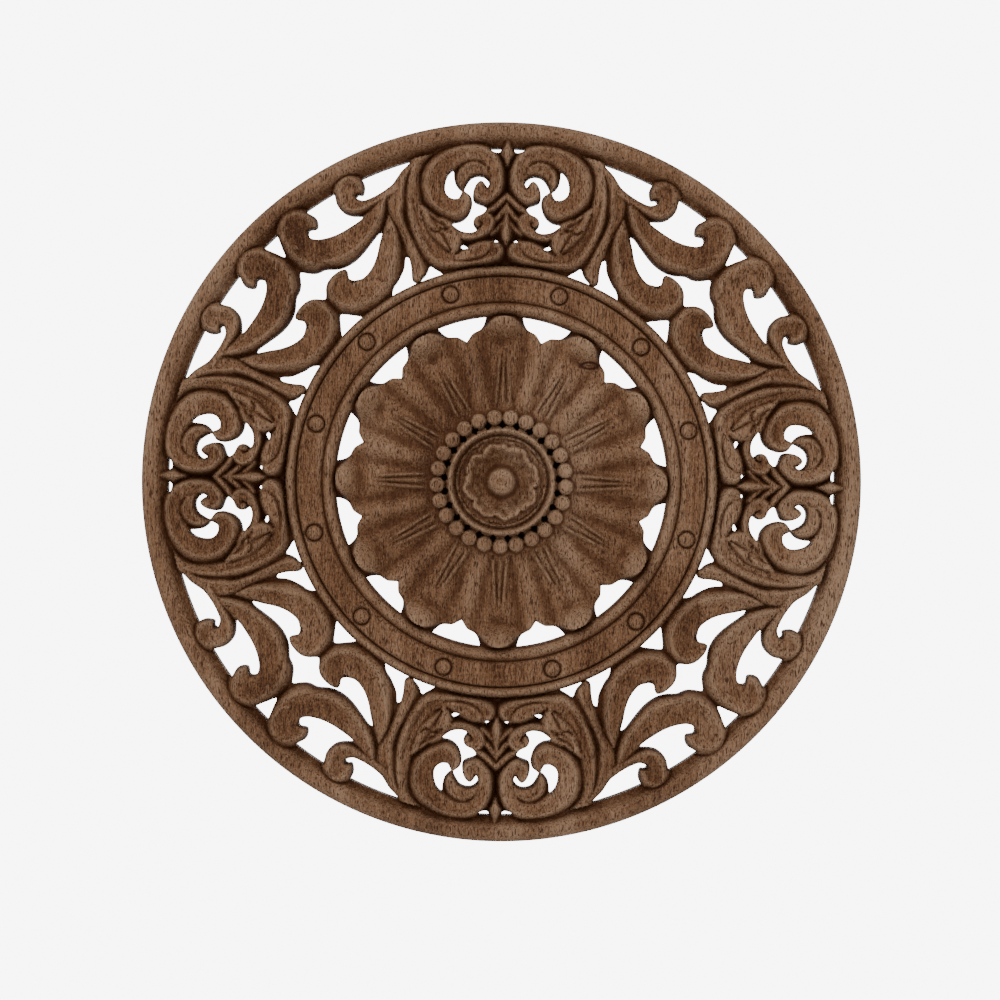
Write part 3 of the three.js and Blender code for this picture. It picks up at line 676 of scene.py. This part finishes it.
# The box round the sector, the spacing along its straight sides, how far other points stay from them and
# from the circles and openings, and where the fine spacing may go
SECTOR_LOW = (0, 20)
SECTOR_HIGH = (107, 151)
SEAM_STEP = 1.0
SEAM_GAP = 0.35
CHAIN_GAP = 0.32
FINE_FROM = RING_OUTER - 0.2
FINE_TO = 144.6
PATERA_BORDER = 1


def fine_places(points):
    """Which points keep the fine spacing: on the pateras and where the relief bends sharply."""
    radius = radius_of(points)
    centre = height_at(points)
    around = sum(height_at(points + np.array(way) * PROBE) for way in ((1, 0), (-1, 0), (0, 1), (0, -1)))
    sharp = np.abs(around / 4 - centre) > SHARP
    band = (radius > FINE_FROM) & (radius < FINE_TO)
    patera = np.zeros(len(points), bool)
    for turn in (PATERA_ANGLE, SECTOR):
        away = np.linalg.norm(points - polar(turn, PATERA_CIRCLE), axis=1)
        patera |= away < PATERA_RADIUS + PATERA_BORDER
    return patera | (sharp & (band | (radius < RING_INNER)))


def sector_face():
    """Points, triangles, heights and openings of one eighth of the face outside the boss."""
    loops = openings()
    keep = sector_test(loops, CENTRE_RADIUS, RIM_OUTER)
    chains = [(arc(radius, steps), False) for steps, radii in SECTOR_CIRCLES for radius in radii]
    chains += [(loop, True) for loop in loops]
    seam = np.append(np.arange(CENTRE_RADIUS, RIM_OUTER, SEAM_STEP), RIM_OUTER)
    seams = [(polar(0.0, seam), False), (polar(SECTOR, seam), False)]
    points, coarse = hex_points(SECTOR_LOW, SECTOR_HIGH, FINE_STEP)
    kept = keep(points)
    points, coarse = points[kept], coarse[kept]
    wanted = coarse | fine_places(points)
    radius = radius_of(points)
    degrees = degrees_of(points)
    near_seam = np.radians(np.minimum(degrees, SECTOR - degrees)) * radius < SEAM_GAP
    away = distance_to_any(points, [chain for chain, _ in chains])
    points = points[wanted & ~near_seam & (away > CHAIN_GAP)]
    places, faces = triangulate(points, chains + seams, keep)
    height = rounded_off(places, height_at(places), loops)
    return places, faces, height, loops


def open_edges(faces):
    """The edges that only one triangle has, in that triangle's turning order."""
    edges = np.vstack([faces[:, [0, 1]], faces[:, [1, 2]], faces[:, [2, 0]]])
    key = np.sort(edges, 1)
    _, index, counts = np.unique(key, axis=0, return_index=True, return_counts=True)
    return edges[index[counts == 1]]


def sector_back(places, faces, loops):
    """The flat back of the same eighth, on the face's own outline."""
    edges = open_edges(faces)
    degrees = degrees_of(places)
    on_seam = (np.abs(degrees) < 1e-4) | (np.abs(degrees - SECTOR) < 1e-4)
    outline = edges[~(on_seam[edges[:, 0]] & on_seam[edges[:, 1]])]
    chains = [(places[list(edge)], False) for edge in outline]
    seams = edges[on_seam[edges[:, 0]] & on_seam[edges[:, 1]]]
    chains += [(places[list(edge)], False) for edge in seams]
    return triangulate(np.zeros((0, 2)), chains, sector_test(loops, CENTRE_RADIUS, RIM_OUTER))


# Circles that the boss's triangles follow, the steps round them and round the beads in degrees, the bead's
# foot as a share of its radius, the spacing, and how far other points stay from the edge and the circles
BOSS_CIRCLES = (5.6, 17.6, 18.3, 19.2, 20.2, 21.2, 22.0, 22.7)
BOSS_TURN = 2.5
BEAD_TURN = 24
BEAD_FOOT = 1.03
BOSS_STEP = 0.66
BOSS_EDGE_GAP = 0.4
BOSS_CHAIN_GAP = 0.35


def centre_face():
    """Points and triangles of the boss and the beads, and the points of the circle round them."""
    steps = CENTRE_STEPS * SECTOR_COUNT
    outer = polar(360 * np.arange(steps) / steps, CENTRE_RADIUS)
    chains = [(outer, True)]
    for radius in BOSS_CIRCLES:
        chains.append((polar(np.arange(0, 360, BOSS_TURN), radius), True))
    for i in range(BEAD_COUNT):
        middle = polar((i + 0.5) * 360 / BEAD_COUNT, BEAD_CIRCLE)
        chains.append((middle + polar(np.arange(0, 360, BEAD_TURN), BEAD_RADIUS * BEAD_FOOT), True))
    points, _ = hex_points((-CENTRE_RADIUS, -CENTRE_RADIUS), (CENTRE_RADIUS, CENTRE_RADIUS), BOSS_STEP)
    away = distance_to_any(points, [chain for chain, _ in chains])
    points = points[(radius_of(points) < CENTRE_RADIUS - BOSS_EDGE_GAP) & (away > BOSS_CHAIN_GAP)]
    places, faces = triangulate(points, chains, lambda p: radius_of(p) < CENTRE_RADIUS)
    return places, faces, outer


def all_round(places, faces):
    """The eight copies of a sector, in quarter turns, every other one mirrored."""
    spots, polys = [], []
    for i in range(4):
        angle = math.radians(90 * i)
        for mirror in (1, -1):
            x, y = places[:, 0] * mirror, places[:, 1]
            turned_x = x * math.cos(angle) + y * math.sin(angle)
            turned_y = y * math.cos(angle) - x * math.sin(angle)
            base = sum(len(s) for s in spots)
            spots.append(np.stack([turned_x, turned_y], -1))
            polys.append((faces if mirror == 1 else faces[:, ::-1]) + base)
    return np.vstack(spots), np.vstack(polys)


def weld_keys(places):
    """Whole numbers that are the same for points in the same place."""
    return np.round(places / WELD).astype(np.int64)


def welded(places, faces, extra):
    """Joins points that lie in the same place, keeping the first one's extra values."""
    _, first, inverse = np.unique(weld_keys(places), axis=0, return_index=True, return_inverse=True)
    faces = inverse.reshape(-1)[faces]
    ok = (faces[:, 0] != faces[:, 1]) & (faces[:, 1] != faces[:, 2]) & (faces[:, 2] != faces[:, 0])
    return places[first], faces[ok], extra[first]


def relaxed(values, faces, rounds):
    """Values averaged with their neighbours' over the triangles, a number of times."""
    pairs = np.vstack([faces[:, [0, 1]], faces[:, [1, 2]], faces[:, [2, 0]]])
    count = np.bincount(pairs.ravel(), minlength=len(values))
    smooth = values.copy()
    for _ in range(rounds):
        total = np.bincount(pairs[:, 0], smooth[pairs[:, 1]], len(values))
        total += np.bincount(pairs[:, 1], smooth[pairs[:, 0]], len(values))
        smooth = 0.5 * smooth + 0.5 * total / np.maximum(count, 1)
    return smooth


# The grid that the heights are averaged on: cell, margin, an opening's height, and the reach in spreads
CELL = 0.6
GRID_MARGIN = 16
HOLE_LEVEL = 6.5
KERNEL_REACH = 3


def height_grid(spots, heights):
    """The heights on a square grid, with the sawn openings counted as low, and each spot's cell."""
    size = int(2 * (RIM_OUTER + GRID_MARGIN) / CELL)
    column = ((spots + RIM_OUTER + GRID_MARGIN) / CELL).astype(int)
    flat = column[:, 1] * size + column[:, 0]
    weight = np.bincount(flat, minlength=size * size).reshape(size, size).astype(float)
    total = np.bincount(flat, heights, size * size).reshape(size, size)
    for _ in range(2):
        empty = weight == 0
        spread_weight, spread_total = weight.copy(), total.copy()
        for axis, step in ((0, 1), (0, -1), (1, 1), (1, -1)):
            spread_weight += np.roll(weight, step, axis)
            spread_total += np.roll(total, step, axis)
        weight = np.where(empty, spread_weight, weight)
        total = np.where(empty, spread_total, total)
    return np.where(weight > 0, total / np.maximum(weight, 1), HOLE_LEVEL), flat


def blurred(spots, heights, spread):
    """The heights averaged over a wide round neighbourhood of the given spread, in millimetres."""
    grid, flat = height_grid(spots, heights)
    reach = int(KERNEL_REACH * spread / CELL)
    steps = np.arange(-reach, reach + 1)
    kernel = np.exp(-0.5 * (steps * CELL / spread) ** 2)
    kernel /= kernel.sum()
    for axis in (0, 1):
        grid = np.apply_along_axis(np.convolve, axis, grid, kernel, "same")
    return grid.ravel()[flat]


# The uneven face's slow and quick swells: lengths, starts, the quick one's share and slant, the height, and
# the fades at the rim's edge and on the button
SLOW_X, SLOW_Y = 7.3, 8.9
SLOW_START_X, SLOW_START_Y = 1.1, 0.4
QUICK_SHARE = 0.7
QUICK_X, QUICK_SLANT, QUICK_Y = 3.1, 4.7, 3.7
QUICK_START_Y = 2
UNEVEN_HEIGHT = 0.12
RIM_FADE = 4
BUTTON_CLEAR = 2
BUTTON_FADE = 6


def unevenness(spots):
    """Slow swells of the hand-cut face, away from the rim's outer edge and the button's top."""
    x, y = spots[:, 0], spots[:, 1]
    radius = radius_of(spots)
    slow = np.sin(x / SLOW_X + SLOW_START_X) * np.sin(y / SLOW_Y + SLOW_START_Y)
    quick = QUICK_SHARE * np.sin(x / QUICK_X - y / QUICK_SLANT) * np.sin(y / QUICK_Y + QUICK_START_Y)
    faded = fade(radius, RIM_OUTER, -RIM_FADE) * fade(radius, BUTTON_CLEAR, BUTTON_FADE)
    return UNEVEN_HEIGHT * (slow + quick) * faded


# Spreads of the averages that tell hollows and grooves, rounds for the finest detail, and the angle in
# degrees from which an edge is sharp
HOLLOW_BLUR = 4.0
CAVITY_BLUR = 1.6
DETAIL_ROUNDS = 5
SHARP_EDGE = 48


def face_of_disc():
    """The whole carved face, and the parts that the back is made from."""
    sector, sector_faces, sector_heights, loops = sector_face()
    back, back_faces = sector_back(sector, sector_faces, loops)
    middle, middle_faces, circle = centre_face()
    spots, polys = all_round(sector, sector_faces)
    heights = np.tile(sector_heights, SECTOR_COUNT)
    spots = np.vstack([spots, middle])
    polys = np.vstack([polys, middle_faces + len(heights)])
    heights = np.append(heights, centre_height(middle))
    spots, polys, heights = welded(spots, polys, heights)
    heights = heights + unevenness(spots)
    return spots, polys, heights, back, back_faces, circle


def back_of_disc(back, back_faces, circle):
    """The whole flat back, with a fan of triangles inside the circle."""
    flat, flat_faces = all_round(back, back_faces)
    hub = len(flat) + len(circle)
    ring = len(flat) + np.arange(len(circle))
    fan = np.stack([np.full(len(circle), hub), np.roll(ring, -1), ring], -1)
    flat = np.vstack([flat, circle, [[0, 0]]])
    flat_faces = np.vstack([flat_faces, fan])
    flat, flat_faces, _ = welded(flat, flat_faces, np.zeros(len(flat)))
    return flat, flat_faces


def build_mesh():
    """The closed mesh of face, back and walls, with the values that the wood's painted shade and painted
    highlight follow.
    """
    spots, polys, heights, back, back_faces, circle = face_of_disc()
    flat, flat_faces = back_of_disc(back, back_faces, circle)
    count = len(spots)
    verts = np.zeros((count + len(flat), 3))
    verts[:count] = np.stack([spots[:, 0], -heights, spots[:, 1]], -1)
    verts[count:] = np.stack([flat[:, 0], np.zeros(len(flat)), flat[:, 1]], -1)
    keys = {tuple(k): i for i, k in enumerate(weld_keys(flat))}
    rim = open_edges(polys)
    below = np.array([[keys[tuple(weld_keys(spots[v]))] for v in edge] for edge in rim])
    walls = np.vstack([
        np.stack([rim[:, 1], rim[:, 0], below[:, 0] + count], -1),
        np.stack([rim[:, 1], below[:, 0] + count, below[:, 1] + count], -1)])
    faces = np.vstack([polys, flat_faces[:, ::-1] + count, walls])

    attributes = {
        "hollow": blurred(spots, heights, HOLLOW_BLUR) - heights,
        "cavity": blurred(spots, heights, CAVITY_BLUR) - heights,
        "detail": relaxed(heights, polys, DETAIL_ROUNDS) - heights,
    }
    mesh = bpy.data.meshes.new("applique")
    mesh.vertices.add(len(verts))
    mesh.vertices.foreach_set("co", (verts * MM).ravel())
    mesh.loops.add(faces.size)
    mesh.loops.foreach_set("vertex_index", faces.ravel())
    mesh.polygons.add(len(faces))
    mesh.polygons.foreach_set("loop_start", np.arange(0, faces.size, 3))
    mesh.polygons.foreach_set("use_smooth", np.ones(len(faces), bool))
    for name, values in attributes.items():
        layer = mesh.attributes.new(name, "FLOAT", "POINT")
        layer.data.foreach_set("value", np.append(values, np.zeros(len(flat))).astype(np.float32))
    mesh.update()
    mesh.validate()
    mesh.set_sharp_from_angle(angle=math.radians(SHARP_EDGE))
    return mesh


def link(tree, source, target):
    tree.links.new(source, target)


def new_node(tree, kind):
    return tree.nodes.new("ShaderNode" + kind)


def math_node(tree, operation, first, second=None, clamp=False):
    node = new_node(tree, "Math")
    node.operation = operation
    node.use_clamp = clamp
    for socket, value in zip(node.inputs, (first, second)):
        if value is None:
            continue
        if isinstance(value, (int, float)):
            socket.default_value = value
        else:
            link(tree, value, socket)
    return node.outputs[0]


def scaled(tree, value, factor):
    return math_node(tree, "MULTIPLY", value, factor)


def added(tree, first, second):
    return math_node(tree, "ADD", first, second)


def levels(tree, value, low, high):
    """A value stretched so that low becomes 0 and high becomes 1."""
    return math_node(tree, "MULTIPLY", added(tree, value, -low), 1 / (high - low), clamp=True)


def ramp_node(tree, factor, stops):
    node = new_node(tree, "ValToRGB")
    elements = node.color_ramp.elements
    while len(elements) < len(stops):
        elements.new(0.5)
    for element, (position, colour) in zip(elements, stops):
        element.position = position
        element.color = (*colour, 1)
    link(tree, factor, node.inputs["Fac"])
    return node.outputs["Color"]


def mix_node(tree, factor, first, second):
    """The first colour, mixed with the second, a plain one, by a factor from a node."""
    node = new_node(tree, "Mix")
    node.data_type = "RGBA"
    link(tree, factor, node.inputs["Factor"])
    link(tree, first, node.inputs[6])
    node.inputs[7].default_value = (*second, 1)
    return node.outputs[2]


def grain_noise(tree, place, along, scale, detail, rough):
    """A noise stretched upwards by the share along, like the grain."""
    stretch = new_node(tree, "Mapping")
    stretch.inputs["Scale"].default_value = (1.0, 1.0, along)
    link(tree, place, stretch.inputs["Vector"])
    node = new_node(tree, "TexNoise")
    node.inputs["Scale"].default_value = scale
    node.inputs["Detail"].default_value = detail
    node.inputs["Roughness"].default_value = rough
    link(tree, stretch.outputs["Vector"], node.inputs["Vector"])
    return node.outputs["Fac"]


def attribute(tree, name):
    node = new_node(tree, "Attribute")
    node.attribute_name = name
    return node.outputs["Fac"]


# Colours of the wood, its painted shade and its painted highlight
DARK_SHADE_AND_KNOT = (0.017, 0.0030, 0.0008)
RED_SHADE = (0.054, 0.0135, 0.0035)
GROOVE_SHADE = (0.036, 0.0112, 0.0034)
DEEP_WOOD = (0.027, 0.0085, 0.0028)
BROWN_WOOD = (0.094, 0.0445, 0.0205)
PORE_DARK = (0.016, 0.0045, 0.0015)
WALL_SHADE = (0.048, 0.0195, 0.0075)
PALE_WOOD = (0.164, 0.099, 0.060)
PAINTED_HIGHLIGHT_WOOD = (0.200, 0.130, 0.082)

# The grain's noises: share along the grain, scale, detail and roughness
GRAIN = {
    "broad": (0.3, 45, 3, 0.6),
    "streaks": (0.05, 1100, 3, 0.6),
    "speckle": (0.6, 2000, 2, 0.6),
    "pores": (0.14, 2600, 1, 0.5),
    "lines": (0.02, 1500, 2, 0.5),
}

# What each gives to the wood's tone, the painted shade that broad hollows take off it, and the tones of its
# three colours
TONE_SHARES = {"broad": 0.42, "streaks": 0.24, "speckle": 0.34}
BOARD_SHARE = 0.06
HOLLOW_SHADE_SHARE = -0.014
DEEP_TONE = 0.36
BROWN_TONE = 0.48
PALE_TONE = 0.61

# Upright strips of the board, and the knot, in metres
BOARD_WIDTH = 0.042
KNOT_X = 0.0358
KNOT_Z = 0.0491
KNOT_WIDTH = 0.0034
KNOT_HEIGHT = 0.0013
KNOT_RING = 1.2
KNOT_RING_SHARPNESS = 2.0
KNOT_CORE_SHARPNESS = 2.6

# The share of a surface's normal to the front or back at which the walls' painted shade starts, and is full
SAWN_FROM = 0.34
SAWN_FULL = 0.12

# The surface: roughness, what the streaks add to it, sheen, and the depth of the pores in metres
ROUGHNESS = 0.55
STREAK_ROUGHNESS = 0.3
SPECULAR = 0.07
BUMP_STRENGTH = 0.6
BUMP_DEPTH = 0.0003
BUMP_SPECKLE = 0.6


def board_tone(tree, across):
    """A random value about 0 for each upright strip of the board."""
    board = math_node(tree, "FLOOR", scaled(tree, across, 1 / BOARD_WIDTH))
    dice = new_node(tree, "TexWhiteNoise")
    dice.noise_dimensions = "1D"
    link(tree, board, dice.inputs["W"])
    return added(tree, dice.outputs["Value"], -0.5)


def sawn_side(tree):
    """Where the walls' painted shade goes: 1 on the sawn walls and the steepest cuts, 0 on the face and the
    back.
    """
    split = new_node(tree, "SeparateXYZ")
    link(tree, new_node(tree, "NewGeometry").outputs["True Normal"], split.inputs[0])
    facing = math_node(tree, "ABSOLUTE", split.outputs["Y"])
    return levels(tree, scaled(tree, facing, -1.0), -SAWN_FROM, -SAWN_FULL)


def knot_mark(tree, across, up):
    """A small dark ring with a dark core, wider than high."""
    aside = scaled(tree, added(tree, across, -KNOT_X), 1 / KNOT_WIDTH)
    above = scaled(tree, added(tree, up, -KNOT_Z), 1 / KNOT_HEIGHT)
    square = added(tree, math_node(tree, "MULTIPLY", aside, aside), math_node(tree, "MULTIPLY", above, above))
    around = math_node(tree, "SQRT", square)
    off_ring = math_node(tree, "ABSOLUTE", added(tree, around, -1.0))
    ring = math_node(tree, "SUBTRACT", KNOT_RING, scaled(tree, off_ring, KNOT_RING_SHARPNESS), clamp=True)
    core = math_node(tree, "SUBTRACT", 1.0, scaled(tree, around, KNOT_CORE_SHARPNESS), clamp=True)
    return math_node(tree, "MAXIMUM", ring, core)


def wood_tone(tree, noises, across, hollow):
    """How pale the bare wood is, from its noises and its strips, with painted shade taken off in its broad
    hollows.
    """
    tone = None
    for name, share in TONE_SHARES.items():
        part = scaled(tree, noises[name], share)
        tone = part if tone is None else added(tree, tone, part)
    tone = added(tree, tone, scaled(tree, board_tone(tree, across), BOARD_SHARE))
    # Painted shade: the tone is lowered in broad hollows
    return added(tree, tone, scaled(tree, hollow, HOLLOW_SHADE_SHARE))


def wood_material():
    """Brown open-pored wood with upright grain, painted shade in the recesses and on the walls, and a painted
    highlight on the crests.
    """
    material = bpy.data.materials.new("carved_wood")
    material.use_nodes = True
    tree = material.node_tree
    shader = tree.nodes["Principled BSDF"]
    place = new_node(tree, "TexCoord").outputs["Object"]
    split = new_node(tree, "SeparateXYZ")
    link(tree, place, split.inputs[0])
    across, up = split.outputs["X"], split.outputs["Z"]
    noises = {name: grain_noise(tree, place, *values) for name, values in GRAIN.items()}
    hollow = attribute(tree, "hollow")
    cavity = attribute(tree, "cavity")
    detail = attribute(tree, "detail")
    crest = scaled(tree, cavity, -1.0)
    fine_crest = scaled(tree, detail, -1.0)
    pore = levels(tree, noises["pores"], 0.58, 0.625)
    stops = [(DEEP_TONE, DEEP_WOOD), (BROWN_TONE, BROWN_WOOD), (PALE_TONE, PALE_WOOD)]
    colour = ramp_node(tree, wood_tone(tree, noises, across, hollow), stops)

    # Each layer: where it lies, how strong it is there, and its colour
    layers = [
        # Painted highlight: the crests and the fine ridges are made paler
        (levels(tree, crest, 0.2, 2.4), 0.45, PAINTED_HIGHLIGHT_WOOD),
        (levels(tree, fine_crest, 0.05, 0.5), 0.2, PAINTED_HIGHLIGHT_WOOD),
        (levels(tree, noises["lines"], 0.56, 0.68), 0.4, DEEP_WOOD),
        (pore, 0.85, PORE_DARK),
        # Painted shade: the broad hollows and the grooves are darkened by their depth, in a reddish brown
        (levels(tree, hollow, 1.2, 4.0), 0.25, RED_SHADE),
        (levels(tree, cavity, 0.5, 2.7), 0.8, RED_SHADE),
        # Painted shade: the deepest cavities are darkened further; the same dark colour also marks the knot
        # below
        (levels(tree, cavity, 2.3, 4.4), 0.8, DARK_SHADE_AND_KNOT),
        # Painted shade in the fine creases
        (levels(tree, detail, 0.08, 0.46), 0.6, GROOVE_SHADE),
        (knot_mark(tree, across, up), 0.95, DARK_SHADE_AND_KNOT),
        # Painted shade on the walls and the steepest cuts
        (sawn_side(tree), 0.75, WALL_SHADE),
    ]
    for amount, strength, stain in layers:
        colour = mix_node(tree, scaled(tree, amount, strength), colour, stain)
    link(tree, colour, shader.inputs["Base Color"])

    roughness = added(tree, scaled(tree, noises["streaks"], STREAK_ROUGHNESS), ROUGHNESS)
    link(tree, roughness, shader.inputs["Roughness"])
    shader.inputs["Specular IOR Level"].default_value = SPECULAR
    bumps = new_node(tree, "Bump")
    bumps.inputs["Strength"].default_value = BUMP_STRENGTH
    bumps.inputs["Distance"].default_value = BUMP_DEPTH
    relief = math_node(tree, "SUBTRACT", scaled(tree, noises["speckle"], BUMP_SPECKLE), pore)
    link(tree, relief, bumps.inputs["Height"])
    link(tree, bumps.outputs["Normal"], shader.inputs["Normal"])
    return material


def make_applique():
    applique = bpy.data.objects.new("applique", build_mesh())
    bpy.context.scene.collection.objects.link(applique)
    applique.data.materials.append(wood_material())
    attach(applique, "root")
    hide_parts("carved_applique")


# The stage in metres: the floor, the lights (place, size and power), and the surrounding's strength, with
# what is added behind and the depth of the way where that starts and is full
FLOOR_SIZE = 1.6
FLOOR_HEIGHT = -0.36
FLOOR_COLOUR = (0.8, 0.8, 0.8, 1)
FLOOR_ROUGHNESS = 0.8
LIGHTS = {
    "key": ((-0.75, -0.9, 1.15), 0.7, 13),
    "fill": ((0.9, -1.2, 0.2), 1.0, 2),
}
WORLD_STRENGTH = 1.7
BEHIND_STRENGTH = 6.1
BEHIND_FROM = 0.945
BEHIND_FULL = 0.97


def make_floor():
    bpy.ops.mesh.primitive_plane_add(size=FLOOR_SIZE, location=(0, 0, FLOOR_HEIGHT))
    floor = bpy.context.object
    floor.name = "floor"
    paint = bpy.data.materials.new("pale_floor")
    paint.use_nodes = True
    shader = paint.node_tree.nodes["Principled BSDF"]
    shader.inputs["Base Color"].default_value = FLOOR_COLOUR
    shader.inputs["Roughness"].default_value = FLOOR_ROUGHNESS
    floor.data.materials.append(paint)
    return floor


def make_light(name, place, size, power):
    lamp = bpy.data.lights.new(name, "AREA")
    lamp.size = size
    lamp.energy = power
    light = bpy.data.objects.new(name, lamp)
    light.location = place
    light.rotation_euler = (-Vector(place)).to_track_quat("-Z", "Y").to_euler()
    bpy.context.scene.collection.objects.link(light)
    return light


def make_stage():
    """A pale floor below the photograph's frame, soft lights and a white surrounding, brightest behind."""
    floor = make_floor()
    lights = [make_light(name, *values) for name, values in LIGHTS.items()]
    world = bpy.data.worlds.new("studio")
    world.use_nodes = True
    tree = world.node_tree
    background = tree.nodes["Background"]
    background.inputs["Color"].default_value = (1, 1, 1, 1)
    way = new_node(tree, "SeparateXYZ")
    link(tree, new_node(tree, "TexCoord").outputs["Generated"], way.inputs[0])
    behind = levels(tree, way.outputs["Y"], BEHIND_FROM, BEHIND_FULL)
    strength = added(tree, scaled(tree, behind, BEHIND_STRENGTH), WORLD_STRENGTH)
    link(tree, strength, background.inputs["Strength"])
    bpy.context.scene.world = world


# The photograph's size and the disc's middle and radius in it, in pixels, and the pattern's turn in degrees
PHOTO_SIZE = 1000
DISC_X = 501.4
DISC_Y = 481.8
DISC_RADIUS = 359.6
PATTERN_TURN = 1.1

# The lens and its sensor in millimetres, and the height in metres that the radius was measured at
LENS = 110
SENSOR = 36
FACE_HEIGHT = 0.008


def make_camera():
    lens = bpy.data.cameras.new("camera")
    lens.lens = LENS
    lens.sensor_width = SENSOR
    camera = bpy.data.objects.new("camera", lens)
    bpy.context.scene.collection.objects.link(camera)
    width = RIM_OUTER * MM * PHOTO_SIZE / DISC_RADIUS
    distance = width * LENS / SENSOR
    camera.location = (0, -distance - FACE_HEIGHT, 0)
    camera.rotation_euler = (math.radians(90), math.radians(-PATTERN_TURN), 0)
    lens.shift_x = (PHOTO_SIZE / 2 - DISC_X) / PHOTO_SIZE
    lens.shift_y = (DISC_Y - PHOTO_SIZE / 2) / PHOTO_SIZE
    bpy.context.scene.camera = camera


make_camera()
make_applique()
make_stage()
